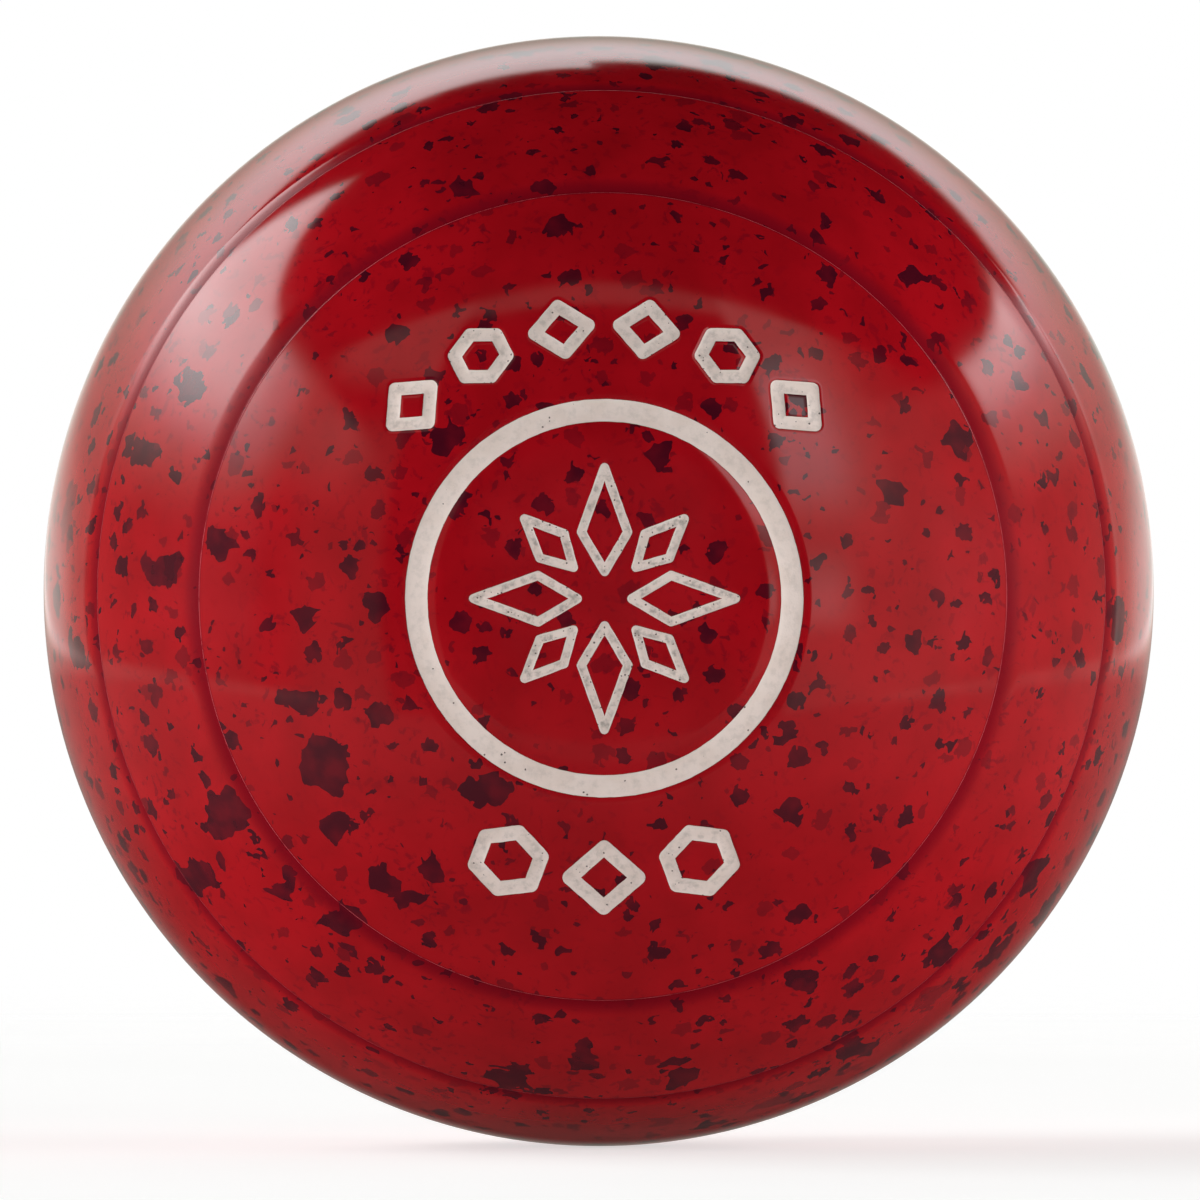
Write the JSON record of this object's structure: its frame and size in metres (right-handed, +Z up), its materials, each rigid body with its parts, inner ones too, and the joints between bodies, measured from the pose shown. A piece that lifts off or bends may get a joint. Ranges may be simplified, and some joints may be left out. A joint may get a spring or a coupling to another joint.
{
  "type": "lawn bowl",
  "caption": "Biased ball for lawn bowling: a turned, flecked resin body with grip grooves and paint-filled engraved marks on both faces.",
  "frame": {"origin": "centre of the bowl: the crossing of its rolling axis and its middle plane", "axes": "+Z up as the bowl stands on its running line, +Y along the rolling axis from the front face (larger ring) to the back face (smaller ring), +X to the right of someone looking at the front face"},
  "size_m": [0.112, 0.104, 0.112],
  "materials": {
    "flecked_resin": "polished deep red phenolic or melamine resin with dark maroon flecks through its thickness",
    "engraving_paint": "off-white filling paint, flat, slightly worn"
  },
  "bodies": {
    "root": {"bowl_body": "flecked_resin", "front_ring_paint": "engraving_paint", "front_long_ray_paint_1": "engraving_paint", "front_long_ray_paint_2": "engraving_paint", "front_long_ray_paint_3": "engraving_paint", "front_long_ray_paint_4": "engraving_paint", "front_short_ray_paint_1": "engraving_paint", "front_short_ray_paint_2": "engraving_paint", "front_short_ray_paint_3": "engraving_paint", "front_short_ray_paint_4": "engraving_paint", "front_upper_mark_paint_1": "engraving_paint", "front_upper_mark_paint_2": "engraving_paint", "front_upper_mark_paint_3": "engraving_paint", "front_upper_mark_paint_4": "engraving_paint", "front_upper_mark_paint_5": "engraving_paint", "front_upper_mark_paint_6": "engraving_paint", "front_lower_mark_paint_1": "engraving_paint", "front_lower_mark_paint_2": "engraving_paint", "front_lower_mark_paint_3": "engraving_paint", "back_ring_paint": "engraving_paint", "back_long_ray_paint_1": "engraving_paint", "back_long_ray_paint_2": "engraving_paint", "back_long_ray_paint_3": "engraving_paint", "back_long_ray_paint_4": "engraving_paint", "back_short_ray_paint_1": "engraving_paint", "back_short_ray_paint_2": "engraving_paint", "back_short_ray_paint_3": "engraving_paint", "back_short_ray_paint_4": "engraving_paint", "back_upper_mark_paint_1": "engraving_paint", "back_upper_mark_paint_2": "engraving_paint", "back_upper_mark_paint_3": "engraving_paint", "back_upper_mark_paint_4": "engraving_paint", "back_upper_mark_paint_5": "engraving_paint", "back_upper_mark_paint_6": "engraving_paint", "back_lower_mark_paint_1": "engraving_paint", "back_lower_mark_paint_2": "engraving_paint", "back_lower_mark_paint_3": "engraving_paint"}
  },
  "joints": []
}
